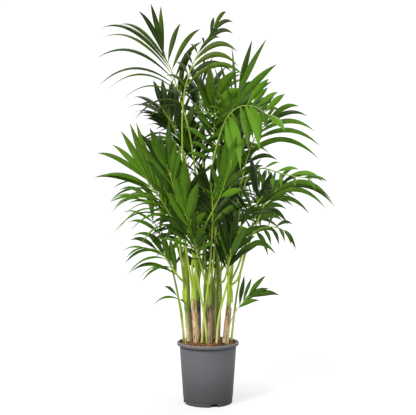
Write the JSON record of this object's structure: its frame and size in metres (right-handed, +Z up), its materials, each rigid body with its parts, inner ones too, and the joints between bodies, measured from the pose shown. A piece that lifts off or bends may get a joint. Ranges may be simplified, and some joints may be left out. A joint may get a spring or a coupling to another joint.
{
  "type": "potted palm",
  "caption": "Clump of young kentia-type palms with feathery arching fronds, growing upright in a round, tapered plastic grow pot.",
  "frame": {"origin": "centre of the pot's flat underside, on the surface the pot stands on", "axes": "+Z up along the pot's axis; the plant's front faces -Y and +X is to the right seen from the front"},
  "size_m": [0.907, 0.6613, 1.552],
  "materials": {
    "pot_plastic": "matte",
    "soil": "matte",
    "green_stem": "satin",
    "dry_sheath": "matte",
    "leaf": "satin",
    "young_leaf": "satin"
  },
  "bodies": {
    "root": {"grow_pot": "pot_plastic", "potting_soil": "soil", "stem_1": "green_stem", "stem_2": "green_stem", "dry_sheath_2": "dry_sheath", "stem_3": "green_stem", "dry_sheath_3": "dry_sheath", "stem_4": "green_stem", "dry_sheath_4": "dry_sheath", "stem_5": "green_stem", "stem_6": "green_stem", "stem_7": "green_stem", "dry_sheath_7": "dry_sheath", "stem_8": "green_stem", "dry_sheath_8": "dry_sheath", "stem_9": "green_stem", "stem_10": "green_stem", "dry_sheath_10": "dry_sheath", "frond_high_left": "leaf", "frond_high_middle": "leaf", "frond_crown_right": "leaf", "frond_arching_right": "leaf", "frond_right_high": "leaf", "frond_right_middle": "leaf", "frond_right_arching": "leaf", "frond_right_low": "leaf", "frond_left_high": "leaf", "frond_left_upright": "leaf", "frond_left_drooping": "leaf", "frond_left_low": "leaf", "frond_front_middle": "leaf", "frond_front_low": "leaf", "frond_front_short": "leaf", "frond_middle_dark": "leaf", "frond_middle_low": "leaf", "frond_middle_right": "leaf", "frond_back_high": "leaf", "frond_back_left": "leaf", "frond_back_right": "leaf", "frond_back_low": "leaf", "frond_back_side": "leaf", "frond_back_corner": "leaf", "frond_back_short": "leaf", "frond_inner_left": "leaf", "frond_inner_low": "leaf", "frond_inner_tall": "leaf", "frond_front_right": "leaf", "frond_inner_right": "leaf", "frond_shoot_crossing": "leaf", "frond_shoot_middle": "leaf", "frond_shoot_tall": "leaf", "frond_shoot_right": "leaf", "frond_shoot_side": "leaf", "frond_shoot_back": "leaf", "frond_shoot_corner": "leaf", "frond_shoot_left": "leaf", "frond_shoot_behind": "leaf", "frond_shoot_hidden": "leaf", "frond_seedling_right": "young_leaf", "frond_seedling_left": "young_leaf"}
  },
  "joints": []
}
